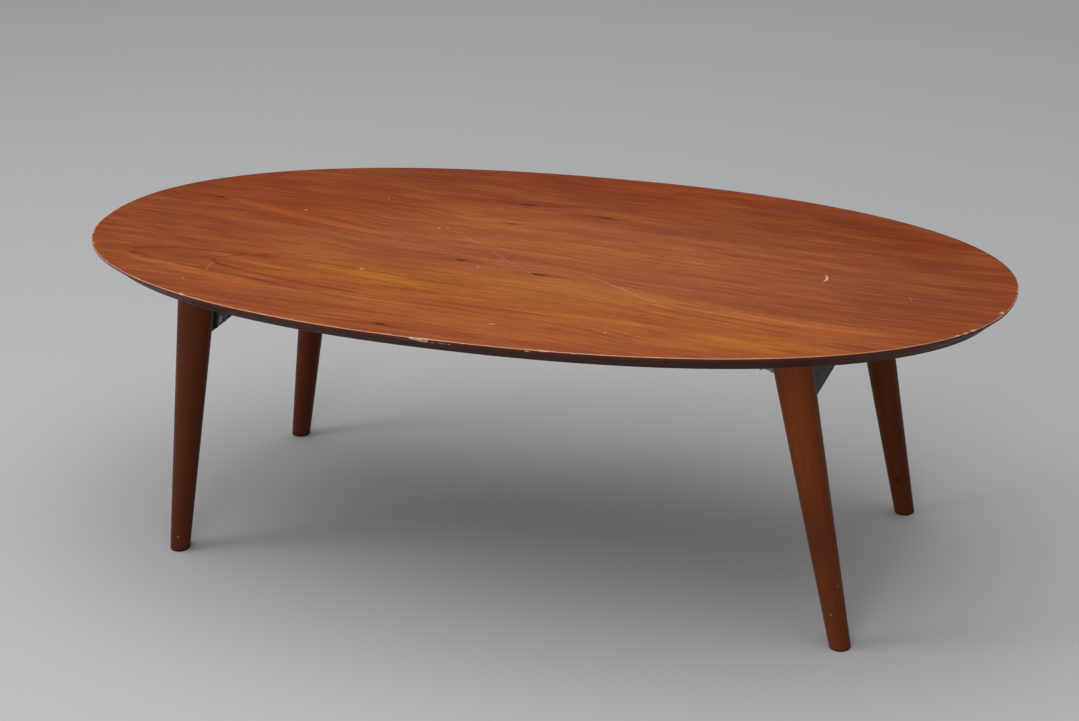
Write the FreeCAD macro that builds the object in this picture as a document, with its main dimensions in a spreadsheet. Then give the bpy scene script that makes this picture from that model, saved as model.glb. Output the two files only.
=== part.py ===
import FreeCAD, Part
import math
import os

import Sketcher
from FreeCAD import Placement, Rotation, Vector

# A low table with an oval top on two folding frames, each of two round tapered legs and a cross rail.
# Millimetres and degrees. +Z is up, the top's length lies along X and its width along Y.
# The origin is on the ground, below the middle of the top. The front is the -Y side.
# The front right corner is modelled, and its pieces are mirrored to the other three corners.

os.makedirs("parts", exist_ok=True)
doc = FreeCAD.newDocument("folding_low_table")

# Driving sizes
DRIVING_SIZES = {
    # top panel
    "top_length": 1000.0,
    "top_width": 495.0,
    "outline_fullness_share": 0.2,
    "top_thickness": 18.0,
    "veneer_thickness": 0.8,
    "backing_thickness": 0.6,
    "lip_height": 2.2,
    "edge_inset": 18.0,
    "arris_chamfer": 0.4,
    # stance of the legs
    "table_height": 325.0,
    "splay": 9.7,
    "leg_inset_ends": 184.5,
    "leg_inset_sides": 94.5,
    "leg_top_diameter": 38.6,
    "leg_foot_diameter": 21.3,
    "leg_top_gap": 0.4,
    "foot_round": 1.5,
    # cross rail, let into the legs and dowelled
    "rail_thickness": 20.0,
    "rail_height": 51.0,
    "rail_drop": 2.6,
    "rail_round": 1.5,
    "housing_floor": 14.0,
    "dowel_diameter": 8.0,
    "dowel_length": 30.0,
    "dowel_depth_in_leg": 18.0,
    "dowel_end_gap": 1.0,
    "dowel_spacing": 27.0,
    # the hinge pivot, seen from the top of the leg's axis
    "pivot_along": 19.0,
    "pivot_setback": 22.0,
    # folding bracket, pressed from steel sheet
    "steel": 1.6,
    "bend_round": 1.2,
    "bracket_width": 24.0,
    "bracket_offset": 34.0,
    "side_gap": 0.2,
    "ear_radius": 7.0,
    "ear_round": 6.0,
    "gusset_length": 30.0,
    "plate_length": 64.0,
    "plate_corner_round": 5.0,
    "web_bottom": 30.0,
    "flange_depth": 5.0,
    "flange_start": 14.0,
    "flange_round": 2.5,
    "rivet_diameter": 6.0,
    "rivet_head_diameter": 10.0,
    "rivet_head_height": 1.8,
    "rivet_head_bevel": 0.8,
    # prongs of the arm, which the lock spring stands on
    "prong_level": 2.5,
    "prong_reach": 13.6,
    "prong_tip": 2.4,
    "prong_root": 5.0,
    # lock spring
    "lock_gap": 0.3,
    "leaf_thickness": 1.0,
    "leaf_width": 20.0,
    "leaf_setback": 11.0,
    "leaf_foot_length": 20.0,
    "leaf_bend_round": 1.0,
    "tab_width": 12.0,
    "tab_drop": 2.5,
    "tab_reach": 9.0,
    "tab_fall": 4.0,
    "spring_rivet_place": 24.5,
    "spring_rivet_diameter": 4.0,
    "spring_rivet_head_diameter": 7.6,
    "spring_rivet_head_height": 1.3,
    # countersunk screws
    "screw_diameter": 3.8,
    "screw_head_diameter": 7.2,
    "screw_head_height": 2.0,
    "screw_point": 3.0,
    "screw_length": 14.0,
    "screw_end_gap": 1.0,
    "base_screw_near": 38.0,
    "base_screw_far": 56.0,
    "base_screw_spread": 12.0,
    "arm_screw_upper": 14.0,
    "arm_screw_lower": 24.5,
    "arm_screw_spread": 8.6,
    # fits
    "fit_clearance": 0.05,
    "overrun": 5.0,
}

# Sizes that follow from the driving ones. Distances from the pivot are in the bracket's own plane.
FOLLOWING_SIZES = {
    # heights of the top's layers
    "underside": "=table_height - top_thickness",
    "core_base": "=underside + backing_thickness",
    "lip_base": "=table_height - lip_height",
    "veneer_base": "=table_height - veneer_thickness",
    # leg, as a cone that runs past both ends
    "leg_length": "=underside / cos(splay)",
    "leg_top": "=underside - leg_top_gap",
    "leg_top_x": "=top_length / 2 - leg_inset_ends",
    "leg_y": "=leg_inset_sides - top_width / 2",
    "leg_taper_share": "=(leg_top_diameter - leg_foot_diameter) / 2 / leg_length",
    "cone_foot_radius": "=leg_foot_diameter / 2 - leg_taper_share * overrun",
    "cone_top_radius": "=leg_top_diameter / 2 + leg_taper_share * overrun",
    "cone_height": "=leg_length + 2 * overrun",
    "cone_x": "=leg_top_x + (leg_length + overrun) * sin(splay)",
    "cone_z": "=-overrun * cos(splay)",
    "half_width": "=top_width / 2",
    # rail
    "rail_length": "=-2 * leg_y - 2 * housing_floor",
    "rail_low": "=rail_drop + rail_height",
    "rail_x": "=leg_top_x - rail_thickness / 2 * cos(splay) + rail_low * sin(splay)",
    "rail_y": "=-rail_length / 2",
    "rail_z": "=underside - rail_thickness / 2 * sin(splay) - rail_low * cos(splay)",
    # dowels
    "dowel_radius": "=dowel_diameter / 2",
    "dowel_bore_radius": "=dowel_radius + fit_clearance",
    "dowel_bore_length": "=dowel_length + dowel_end_gap",
    "dowel_y": "=leg_y + housing_floor - dowel_depth_in_leg",
    "dowel_upper_drop": "=rail_drop + rail_height / 2 - dowel_spacing / 2",
    "dowel_lower_drop": "=dowel_upper_drop + dowel_spacing",
    "dowel_upper_x": "=leg_top_x + dowel_upper_drop * sin(splay)",
    "dowel_upper_z": "=underside - dowel_upper_drop * cos(splay)",
    "dowel_lower_x": "=leg_top_x + dowel_lower_drop * sin(splay)",
    "dowel_lower_z": "=underside - dowel_lower_drop * cos(splay)",
    # pivot and bracket
    "pivot_x": "=leg_top_x + pivot_along * sin(splay) - pivot_setback * cos(splay)",
    "pivot_depth": "=pivot_along * cos(splay) + pivot_setback * sin(splay)",
    "pivot_z": "=underside - pivot_depth",
    "bracket_y": "=leg_y + bracket_offset",
    "half_bracket": "=bracket_width / 2",
    "base_inside": "=bracket_width - 2 * steel",
    "cut_width": "=bracket_width + 2 * overrun",
    "plate_face": "=pivot_depth - steel",
    "plate_bottom": "=underside - steel",
    "ear_cut": "=ear_radius + overrun",
    "ear_diameter": "=2 * ear_radius",
    "gusset_cut": "=gusset_length + overrun",
    "pivot_bore": "=rivet_diameter + 2 * fit_clearance",
    "rail_face": "=pivot_setback - rail_thickness / 2",
    "web_face": "=rail_face - steel",
    "flange_edge": "=rail_face - flange_depth",
    "web_cut": "=web_bottom + overrun",
    "reach_cut": "=prong_reach + overrun",
    "arm_width": "=bracket_width - 2 * steel - 2 * side_gap",
    "half_arm": "=arm_width / 2",
    "arm_inside": "=arm_width - 2 * steel",
    "prong_tip_low": "=prong_level + prong_tip",
    "prong_root_low": "=prong_level + prong_root",
    # lock spring
    "leaf_edge": "=prong_level - lock_gap",
    "leaf_back": "=leaf_setback + leaf_thickness",
    "leaf_foot_face": "=plate_face - leaf_thickness",
    "leaf_foot_end": "=leaf_setback + leaf_foot_length",
    "leaf_bend_outer": "=leaf_bend_round + leaf_thickness",
    "tab_low": "=leaf_edge + tab_drop",
    "tab_high": "=tab_low - leaf_thickness",
    "tab_end": "=leaf_setback + tab_reach",
    "tab_end_low": "=tab_low + tab_fall",
    "tab_end_high": "=tab_high + tab_fall",
    # pivot rivet
    "rivet_radius": "=rivet_diameter / 2",
    "rivet_head_radius": "=rivet_head_diameter / 2",
    "rivet_flat_radius": "=rivet_head_radius - rivet_head_bevel",
    "rivet_end": "=half_bracket + rivet_head_height",
    "rivet_bevel_start": "=rivet_end - rivet_head_bevel",
    # spring rivet
    "spring_rivet_radius": "=spring_rivet_diameter / 2",
    "spring_rivet_head_radius": "=spring_rivet_head_diameter / 2",
    "spring_rivet_flat_radius": "=spring_rivet_head_radius - rivet_head_bevel",
    "spring_rivet_bevel_start": "=spring_rivet_head_height - rivet_head_bevel",
    "spring_rivet_grip": "=leaf_thickness + steel",
    "spring_rivet_x": "=pivot_x - spring_rivet_place",
    "spring_rivet_z": "=plate_bottom - leaf_thickness",
    "spring_bore_radius": "=spring_rivet_radius + fit_clearance",
    "spring_bore_length": "=spring_rivet_grip + 2 * overrun",
    "spring_bore_z": "=spring_rivet_z - overrun",
    # screws
    "screw_radius": "=screw_diameter / 2",
    "screw_head_radius": "=screw_head_diameter / 2",
    "screw_point_start": "=screw_length - screw_point",
    "screw_bore_radius": "=screw_radius + fit_clearance",
    "screw_bore_length": "=screw_length + screw_end_gap",
    "screw_seat_share": "=(screw_head_radius - screw_bore_radius) / (screw_head_radius - screw_radius)",
    "screw_seat_depth": "=screw_head_height * screw_seat_share",
    "base_screw_near_x": "=pivot_x - base_screw_near",
    "base_screw_far_x": "=pivot_x - base_screw_far",
    "base_screw_front_y": "=bracket_y - base_screw_spread / 2",
    "base_screw_back_y": "=bracket_y + base_screw_spread / 2",
    "arm_screw_upper_x": "=pivot_x + web_face * cos(splay) + arm_screw_upper * sin(splay)",
    "arm_screw_upper_z": "=pivot_z + web_face * sin(splay) - arm_screw_upper * cos(splay)",
    "arm_screw_lower_x": "=pivot_x + web_face * cos(splay) + arm_screw_lower * sin(splay)",
    "arm_screw_lower_z": "=pivot_z + web_face * sin(splay) - arm_screw_lower * cos(splay)",
    "arm_screw_front_y": "=bracket_y - arm_screw_spread / 2",
    "arm_screw_back_y": "=bracket_y + arm_screw_spread / 2",
    "arm_screw_turn": "=90 + splay",
}

# How close an edge must lie to a level to be found there
EDGE_MATCH = 0.01

sheet = doc.addObject("Spreadsheet::Sheet", "Sizes")
for row, (alias, content) in enumerate({**DRIVING_SIZES, **FOLLOWING_SIZES}.items(), start=1):
    sheet.set("A%d" % row, alias)
    sheet.set("B%d" % row, str(content))
    sheet.setAlias("B%d" % row, alias)
doc.recompute()


def size(term):
    """The value of a cell, or of its negative, such as "-leg_y", or zero."""
    if term == "0":
        return 0.0
    if term.startswith("-"):
        return -size(term[1:])
    return float(sheet.get(term))


def cell(term):
    """The expression that points to a cell, or to its negative."""
    if term.startswith("-"):
        return "-" + cell(term[1:])
    return "Sizes." + term


def bind(item, **terms):
    """Ties properties of an object to cells of the sheet."""
    for name, term in terms.items():
        item.setExpression(name, cell(term))
    return item


def place(item, x="0", y="0", z="0"):
    """Moves an object to three cells of the sheet."""
    for axis, term in zip("xyz", (x, y, z)):
        if term != "0":
            item.setExpression("Placement.Base." + axis, cell(term))
    return item


def tilt(item, angle):
    """Turns an object about the table's width, so that its lower end moves to the right."""
    item.Placement = Placement(Vector(), Rotation(Vector(0, -1, 0), 1))
    item.setExpression("Placement.Rotation.Angle", cell(angle))
    return item


def lay_along_width(item):
    """Lays an upright object along +Y."""
    item.Placement = Placement(Vector(), Rotation(Vector(-1, 0, 0), 90))
    return item


def flat_at(low, high, level):
    """True where an edge lies at this distance from the middle, on either side."""
    return high - low < EDGE_MATCH and abs(abs(low) - level) < EDGE_MATCH


def edges_at(shape, x=None, y=None, z=None):
    """Numbers of the edges that lie at the given distances from the middle."""
    found = []
    for number, edge in enumerate(shape.Edges, start=1):
        box = edge.BoundBox
        spans = ((x, box.XMin, box.XMax), (y, box.YMin, box.YMax), (z, box.ZMin, box.ZMax))
        if all(level is None or flat_at(low, high, size(level)) for level, low, high in spans):
            found.append(number)
    if not found:
        raise ValueError("no edge lies there")
    return found


# Part objects

def primitive(kind, name, **terms):
    return bind(doc.addObject(kind, name), **terms)


def boolean(kind, name, base, tool):
    item = doc.addObject(kind, name)
    item.Base = base
    item.Tool = tool
    return item


def fused(name, shapes):
    item = doc.addObject("Part::MultiFuse", name)
    item.Shapes = shapes
    return item


def compound(name, links):
    item = doc.addObject("Part::Compound", name)
    item.Links = links
    return item


def mirrored(name, source, normal):
    """The source on the other side of the plane through the origin with this normal."""
    item = doc.addObject("Part::Mirroring", name)
    item.Source = source
    item.Normal = normal
    return item


def rounded(name, base, radius, test, kind="Part::Fillet"):
    """A copy with a rounding, or another kind of edge, on the edges that pass the test."""
    doc.recompute()
    item = doc.addObject(kind, name)
    item.Base = base
    edges = [number for number, edge in enumerate(base.Shape.Edges, start=1) if test(edge)]
    item.Edges = [(number, size(radius), size(radius)) for number in edges]
    return item


def chamfered(name, base, width, test):
    """A copy with a level chamfer on the edges that pass the test."""
    return rounded(name, base, width, test, "Part::Chamfer")


# Bodies, sketched in the plane across the table's width

def new_sketch(body, name):
    sketch = body.newObject("Sketcher::SketchObject", name)
    plane = [feature for feature in body.Origin.OriginFeatures if feature.Role == "XZ_Plane"][0]
    sketch.AttachmentSupport = (plane, [""])
    sketch.MapMode = "FlatFace"
    return sketch


def pin_point(sketch, geometry, end, across, up):
    """Holds one point of a sketch at two cells, measured from the origin."""
    for kind, term, axis in (("DistanceX", across, -2), ("DistanceY", up, -1)):
        if term == "0":
            sketch.addConstraint(Sketcher.Constraint("PointOnObject", geometry, end, axis))
        else:
            number = sketch.addConstraint(Sketcher.Constraint(kind, -1, 1, geometry, end, size(term)))
            sketch.setExpression("Constraints[%d]" % number, cell(term))


def polygon(body, name, corners):
    """A closed outline of straight lines."""
    sketch = new_sketch(body, name)
    points = [Vector(size(across), size(up), 0) for across, up in corners]
    for start, end in zip(points, points[1:] + points[:1]):
        sketch.addGeometry(Part.LineSegment(start, end), False)
    for index in range(len(corners)):
        following = (index + 1) % len(corners)
        sketch.addConstraint(Sketcher.Constraint("Coincident", index, 2, following, 1))
    for index, (across, up) in enumerate(corners):
        pin_point(sketch, index, 1, across, up)
    return sketch


def circle_at_pivot(body, name, diameter):
    sketch = new_sketch(body, name)
    sketch.addGeometry(Part.Circle(Vector(), Vector(0, 0, 1), size(diameter) / 2), False)
    sketch.addConstraint(Sketcher.Constraint("Coincident", 0, 3, -1, 1))
    number = sketch.addConstraint(Sketcher.Constraint("Diameter", 0, size(diameter)))
    sketch.setExpression("Constraints[%d]" % number, cell(diameter))
    return sketch


def pad(body, sketch, width):
    """Fills the sketch, the same width to both sides of its plane."""
    feature = body.newObject("PartDesign::Pad", sketch.Name + "_pad")
    feature.Profile = sketch
    feature.SideType = "Symmetric"
    return bind(feature, Length=width)


def pocket(body, sketch, width):
    """Cuts the sketch out, the same width to both sides of its plane."""
    doc.recompute()
    before = body.Shape.Volume
    feature = body.newObject("PartDesign::Pocket", sketch.Name + "_pocket")
    feature.Profile = sketch
    feature.SideType = "Symmetric"
    bind(feature, Length=width)
    doc.recompute()
    if not body.Shape.Volume < before:
        raise ValueError(sketch.Name + " cut nothing")
    return feature


def soften(body, name, radius, **levels):
    """Rounds the edges of a body that lie at the given levels."""
    doc.recompute()
    base = body.Tip
    feature = body.newObject("PartDesign::Fillet", name)
    feature.Base = (base, ["Edge%d" % number for number in edges_at(base.Shape, **levels)])
    return bind(feature, Radius=radius)


def turned(name, corners):
    """A body turned about its own upright axis. The corners are (radius, height)."""
    body = doc.addObject("PartDesign::Body", name)
    sketch = polygon(body, name + "_profile", corners)
    feature = body.newObject("PartDesign::Revolution", name + "_turning")
    feature.Profile = sketch
    feature.ReferenceAxis = (sketch, ["V_Axis"])
    return body


# The table's pieces, by name
nodes = {}
LENGTHWISE = Vector(1, 0, 0)
WIDTHWISE = Vector(0, 1, 0)


def node(label, item):
    item.Label = label
    nodes[label] = item
    return item


def four_corners(name, front_right):
    """The front right piece and its mirrored copies, in the order of CORNERS."""
    back_right = mirrored("back_right_" + name, front_right, WIDTHWISE)
    front_left = mirrored("front_left_" + name, front_right, LENGTHWISE)
    back_left = mirrored("back_left_" + name, back_right, LENGTHWISE)
    return [front_right, back_right, front_left, back_left]


CORNERS = ("front_right", "back_right", "front_left", "back_left")


def corner_nodes(name, front_right):
    for corner, item in zip(CORNERS, four_corners(name, front_right)):
        node(corner + "_" + name, item)


# Countersunk screws. Each is turned with its head's face at its origin and its point downwards,
# and its bore has the same seat, with room around the shank and at the point.

def screw_and_bore(name, x, y, z, turn):
    screw = turned(name, [
        ("0", "0"),
        ("screw_head_radius", "0"),
        ("screw_radius", "-screw_head_height"),
        ("screw_radius", "-screw_point_start"),
        ("0", "-screw_length"),
    ])
    bore = turned(name + "_bore", [
        ("0", "overrun"),
        ("screw_head_radius", "overrun"),
        ("screw_head_radius", "0"),
        ("screw_bore_radius", "-screw_seat_depth"),
        ("screw_bore_radius", "-screw_bore_length"),
        ("0", "-screw_bore_length"),
    ])
    for item in (screw, bore):
        turn(item)
        place(item, x, y, z)
    return screw, bore


def point_up(item):
    item.Placement = Placement(Vector(), Rotation(Vector(0, -1, 0), 180))


def point_into_rail(item):
    tilt(item, "arm_screw_turn")


base_pairs = [
    screw_and_bore("base_screw_front", "base_screw_near_x", "base_screw_front_y", "plate_bottom", point_up),
    screw_and_bore("base_screw_back", "base_screw_near_x", "base_screw_back_y", "plate_bottom", point_up),
    screw_and_bore("base_screw_inner", "base_screw_far_x", "bracket_y", "plate_bottom", point_up),
]
arm_pairs = [
    screw_and_bore(
        "arm_screw_%s_%s" % (row, side),
        "arm_screw_%s_x" % row,
        "arm_screw_%s_y" % side,
        "arm_screw_%s_z" % row,
        point_into_rail,
    )
    for row in ("upper", "lower")
    for side in ("front", "back")
]
base_screws = [screw for screw, bore in base_pairs]
base_bores = [bore for screw, bore in base_pairs]
arm_screws = [screw for screw, bore in arm_pairs]
arm_bores = [bore for screw, bore in arm_pairs]

node("base_screws", compound("base_screw_set", [
    item for screw in base_screws for item in four_corners(screw.Name, screw)
]))
back_arm_screws = [mirrored(screw.Name + "_behind", screw, WIDTHWISE) for screw in arm_screws]
right_arm_screws = node("right_arm_screws", compound("right_arm_screw_set", arm_screws + back_arm_screws))
node("left_arm_screws", mirrored("left_arm_screw_set", right_arm_screws, LENGTHWISE))


# Top panel. The outline is an ellipse a little fuller at its four shoulders, drawn as one smooth curve.

POINTS_PER_QUARTER = 12


def oval(name, length, width, height):
    """The outline at one height, as a closed curve."""
    power = 2 / (2 + size("outline_fullness_share"))
    steps = 4 * POINTS_PER_QUARTER
    points = []
    for step in range(steps):
        turn = 2 * math.pi * step / steps
        across = math.copysign(abs(math.cos(turn)) ** power, math.cos(turn))
        along = math.copysign(abs(math.sin(turn)) ** power, math.sin(turn))
        points.append(Vector(length / 2 * across, width / 2 * along, 0))
    curve = Part.BSplineCurve()
    curve.interpolate(Points=points, PeriodicFlag=True)
    item = doc.addObject("Part::Feature", name)
    item.Shape = Part.Wire(curve.toShape())
    return place(item, z=height)


def full_oval(name, height):
    return oval(name, size("top_length"), size("top_width"), height)


def inner_oval(name, height):
    inset = 2 * size("edge_inset")
    return oval(name, size("top_length") - inset, size("top_width") - inset, height)


def panel(name, outline, thickness):
    """A flat sheet that rises from the outline."""
    item = doc.addObject("Part::Extrusion", name)
    item.Base = outline
    item.DirMode = "Custom"
    item.Dir = Vector(0, 0, 1)
    item.Solid = True
    return bind(item, LengthFwd=thickness)


veneer = panel("veneer_panel", full_oval("veneer_outline", "veneer_base"), "veneer_thickness")
core = doc.addObject("Part::Loft", "core_panel")
core.Sections = [
    inner_oval("core_base_outline", "core_base"),
    full_oval("lip_base_outline", "lip_base"),
    full_oval("core_top_outline", "veneer_base"),
]
core.Solid = True
core.Ruled = True
backing = panel("backing_panel", inner_oval("backing_outline", "underside"), "backing_thickness")
all_base_bores = fused("all_base_bores", [
    item for bore in base_bores for item in four_corners(bore.Name, bore)
])


def on_top_surface(edge):
    return edge.BoundBox.ZMin > size("table_height") - EDGE_MATCH


node("top_veneer", chamfered("veneer", veneer, "arris_chamfer", on_top_surface))
node("top_core", boolean("Part::Cut", "core", core, all_base_bores))
node("underside_sheet", boolean("Part::Cut", "backing", backing, all_base_bores))


# Cross rail and dowels. The rail stands in the leaning plane of its two legs.

rail_bar = primitive(
    "Part::Box", "rail_bar", Length="rail_thickness", Width="rail_length", Height="rail_height",
)
place(tilt(rail_bar, "splay"), "rail_x", "rail_y", "rail_z")


def along_rail(edge):
    return abs(edge.Length - size("rail_length")) < EDGE_MATCH


rail_blank = rounded("rail_blank", rail_bar, "rail_round", along_rail)


def dowel_shape(name, row, radius, length):
    item = primitive("Part::Cylinder", name, Radius=radius, Height=length)
    return place(lay_along_width(item), "dowel_%s_x" % row, "dowel_y", "dowel_%s_z" % row)


dowels = [dowel_shape("dowel_" + row, row, "dowel_radius", "dowel_length") for row in ("upper", "lower")]
dowel_bores = [
    dowel_shape("dowel_bore_" + row, row, "dowel_bore_radius", "dowel_bore_length")
    for row in ("upper", "lower")
]
back_dowels = [mirrored(dowel.Name + "_behind", dowel, WIDTHWISE) for dowel in dowels]
right_dowels = node("right_rail_dowels", compound("right_dowel_set", dowels + back_dowels))
node("left_rail_dowels", mirrored("left_dowel_set", right_dowels, LENGTHWISE))

front_rail_bores = dowel_bores + arm_bores
back_rail_bores = [mirrored(bore.Name + "_behind", bore, WIDTHWISE) for bore in front_rail_bores]
rail_bores = fused("rail_bores", front_rail_bores + back_rail_bores)
right_rail = node("right_rail", boolean("Part::Cut", "rail", rail_blank, rail_bores))
node("left_rail", mirrored("rail_of_left_legs", right_rail, LENGTHWISE))


# Legs. Each is a leaning cone, cut level at the foot and under the top, with a housing for the rail.

cone = primitive(
    "Part::Cone", "leg_cone",
    Radius1="cone_foot_radius", Radius2="cone_top_radius", Height="cone_height",
)
place(tilt(cone, "splay"), "cone_x", "leg_y", "cone_z")
space_below_top = primitive(
    "Part::Box", "space_below_top", Length="top_length", Width="top_width", Height="leg_top",
)
place(space_below_top, y="-half_width")
level_leg = boolean("Part::Common", "level_leg", cone, space_below_top)
housings = fused("leg_housings", [rail_blank] + dowel_bores)
housed_leg = boolean("Part::Cut", "housed_leg", level_leg, housings)


def on_ground(edge):
    return edge.BoundBox.ZMax < EDGE_MATCH


corner_nodes("leg", rounded("leg", housed_leg, "foot_round", on_ground))


# Bracket base. A plate under the top, with two ears bent down to hold the pivot rivet.

base_body = doc.addObject("PartDesign::Body", "bracket_base")
pad(base_body, polygon(base_body, "base_side", [
    ("ear_radius", "pivot_depth"),
    ("ear_radius", "-ear_radius"),
    ("-ear_radius", "-ear_radius"),
    ("-gusset_length", "plate_face"),
    ("-plate_length", "plate_face"),
    ("-plate_length", "pivot_depth"),
]), "bracket_width")
pocket(base_body, polygon(base_body, "base_inner_space", [
    ("ear_cut", "plate_face"),
    ("ear_cut", "-ear_cut"),
    ("-gusset_cut", "-ear_cut"),
    ("-gusset_cut", "plate_face"),
]), "base_inside")
soften(base_body, "ear_corners", "ear_round", x="ear_radius", z="ear_radius")
soften(base_body, "plate_corners", "plate_corner_round", x="plate_length", y="half_bracket")
soften(base_body, "base_bends", "bend_round", y="half_bracket", z="pivot_depth")
pocket(base_body, circle_at_pivot(base_body, "base_pivot_bore", "pivot_bore"), "cut_width")
place(base_body, "pivot_x", "bracket_y", "pivot_z")

spring_bore = primitive(
    "Part::Cylinder", "spring_bore", Radius="spring_bore_radius", Height="spring_bore_length",
)
place(spring_bore, "spring_rivet_x", "bracket_y", "spring_bore_z")
base_holes = fused("base_holes", base_bores + [spring_bore])
corner_nodes("bracket_base", boolean("Part::Cut", "drilled_base", base_body, base_holes))


# Bracket arm. A channel on the rail's inner face, with round cheeks on the rivet.
# Each cheek has a prong below the lock spring, level with the ground while the legs are open.

arm_body = doc.addObject("PartDesign::Body", "bracket_arm")
pad(arm_body, polygon(arm_body, "arm_side", [
    ("rail_face", "ear_radius"),
    ("0", "ear_radius"),
    ("0", "-ear_radius"),
    ("flange_edge", "-flange_start"),
    ("flange_edge", "-web_bottom"),
    ("rail_face", "-web_bottom"),
]), "arm_width")
pad(arm_body, circle_at_pivot(arm_body, "arm_cheeks", "ear_diameter"), "arm_width")
prong_sketch = polygon(arm_body, "arm_prongs", [
    ("0", "-prong_level"),
    ("-prong_reach", "-prong_level"),
    ("-prong_reach", "-prong_tip_low"),
    ("0", "-prong_root_low"),
])
prong_sketch.AttachmentOffset = Placement(Vector(), Rotation(Vector(0, 0, -1), 1))
prong_sketch.setExpression("AttachmentOffset.Rotation.Angle", cell("splay"))
pad(arm_body, prong_sketch, "arm_width")
pocket(arm_body, polygon(arm_body, "arm_inner_space", [
    ("web_face", "ear_cut"),
    ("-reach_cut", "ear_cut"),
    ("-reach_cut", "-web_cut"),
    ("web_face", "-web_cut"),
]), "arm_inside")
soften(arm_body, "arm_bends", "bend_round", x="rail_face", y="half_arm")
soften(arm_body, "flange_corners", "flange_round", x="flange_edge", z="web_bottom")
pocket(arm_body, circle_at_pivot(arm_body, "arm_pivot_bore", "pivot_bore"), "cut_width")
place(tilt(arm_body, "splay"), "pivot_x", "bracket_y", "pivot_z")
arm_holes = fused("arm_holes", arm_bores)
corner_nodes("bracket_arm", boolean("Part::Cut", "drilled_arm", arm_body, arm_holes))


# Lock spring. A bent leaf under the plate, whose lower edge stands over the prongs.
# Its tab is pressed to fold the legs.

spring_body = doc.addObject("PartDesign::Body", "lock_spring_body")
pad(spring_body, polygon(spring_body, "leaf_side", [
    ("-leaf_setback", "plate_face"),
    ("-leaf_setback", "-leaf_edge"),
    ("-leaf_back", "-leaf_edge"),
    ("-leaf_back", "leaf_foot_face"),
    ("-leaf_foot_end", "leaf_foot_face"),
    ("-leaf_foot_end", "plate_face"),
]), "leaf_width")
pad(spring_body, polygon(spring_body, "tab_side", [
    ("-leaf_setback", "0"),
    ("-leaf_setback", "-tab_low"),
    ("-tab_end", "-tab_end_low"),
    ("-tab_end", "-tab_end_high"),
    ("-leaf_back", "-tab_high"),
    ("-leaf_back", "0"),
]), "tab_width")
soften(spring_body, "leaf_bend_outside", "leaf_bend_outer", x="leaf_setback", z="plate_face")
soften(spring_body, "leaf_bend_inside", "leaf_bend_round", x="leaf_back", z="leaf_foot_face")
soften(spring_body, "tab_bend", "leaf_bend_round", x="leaf_setback", z="tab_low")
place(spring_body, "pivot_x", "bracket_y", "pivot_z")
corner_nodes("lock_spring", boolean("Part::Cut", "drilled_spring", spring_body, spring_bore))


# Rivets. The pivot rivet lies along the table's width, the spring rivet stands upright.

pivot_rivet = turned("rivet_through_ears", [
    ("0", "-rivet_end"),
    ("rivet_flat_radius", "-rivet_end"),
    ("rivet_head_radius", "-rivet_bevel_start"),
    ("rivet_head_radius", "-half_bracket"),
    ("rivet_radius", "-half_bracket"),
    ("rivet_radius", "half_bracket"),
    ("rivet_head_radius", "half_bracket"),
    ("rivet_head_radius", "rivet_bevel_start"),
    ("rivet_flat_radius", "rivet_end"),
    ("0", "rivet_end"),
])
place(lay_along_width(pivot_rivet), "pivot_x", "bracket_y", "pivot_z")
corner_nodes("pivot_rivet", pivot_rivet)

spring_rivet = turned("rivet_through_leaf", [
    ("0", "-spring_rivet_head_height"),
    ("spring_rivet_flat_radius", "-spring_rivet_head_height"),
    ("spring_rivet_head_radius", "-spring_rivet_bevel_start"),
    ("spring_rivet_head_radius", "0"),
    ("spring_rivet_radius", "0"),
    ("spring_rivet_radius", "spring_rivet_grip"),
    ("0", "spring_rivet_grip"),
])
place(spring_rivet, "spring_rivet_x", "bracket_y", "spring_rivet_z")
node("spring_rivets", compound("spring_rivet_set", four_corners("spring_rivet", spring_rivet)))


# Every object and every piece is checked before any file is written
doc.recompute()
for item in doc.Objects:
    if "Invalid" in item.State or "Error" in item.State:
        raise ValueError("%s failed: %s" % (item.Name, item.State))
for label, item in nodes.items():
    if item.Label != label or item.Shape.isNull() or not item.Shape.isValid():
        raise ValueError(label + " has no valid shape of its own")
for label, item in nodes.items():
    item.Shape.exportStep(os.path.join("parts", label + ".step"))
    print("%-28s %2d solid(s) %12.1f mm3" % (label, len(item.Shape.Solids), item.Shape.Volume))
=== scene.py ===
import math

import bpy
from mathutils import Euler, Matrix, Vector


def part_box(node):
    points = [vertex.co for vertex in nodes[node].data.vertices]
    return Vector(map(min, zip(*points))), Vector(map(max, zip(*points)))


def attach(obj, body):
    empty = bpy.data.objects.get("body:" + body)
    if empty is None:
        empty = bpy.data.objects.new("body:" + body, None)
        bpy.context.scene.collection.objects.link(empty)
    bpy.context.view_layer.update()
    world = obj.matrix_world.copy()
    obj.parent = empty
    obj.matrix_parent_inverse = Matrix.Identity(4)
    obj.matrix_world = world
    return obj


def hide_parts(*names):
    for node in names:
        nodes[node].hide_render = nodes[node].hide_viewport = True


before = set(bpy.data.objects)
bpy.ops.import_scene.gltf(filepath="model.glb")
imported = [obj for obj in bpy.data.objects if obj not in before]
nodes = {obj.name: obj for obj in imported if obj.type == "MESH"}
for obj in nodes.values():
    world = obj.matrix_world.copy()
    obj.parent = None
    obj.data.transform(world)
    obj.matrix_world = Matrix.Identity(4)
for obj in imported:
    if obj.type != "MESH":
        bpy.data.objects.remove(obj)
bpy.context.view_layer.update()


# Camera
# It stands at the front right and looks down at the table, as the photograph does. Angles in degrees.
SENSOR_WIDTH = 36
LENS = 76.98
CAMERA_PLACE = (0.8086, -2.1062, 1.1714)
LOOK_DOWN = 23.25
LOOK_LEFT = 20.95
LOOK_ROLL = -2.09

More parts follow.
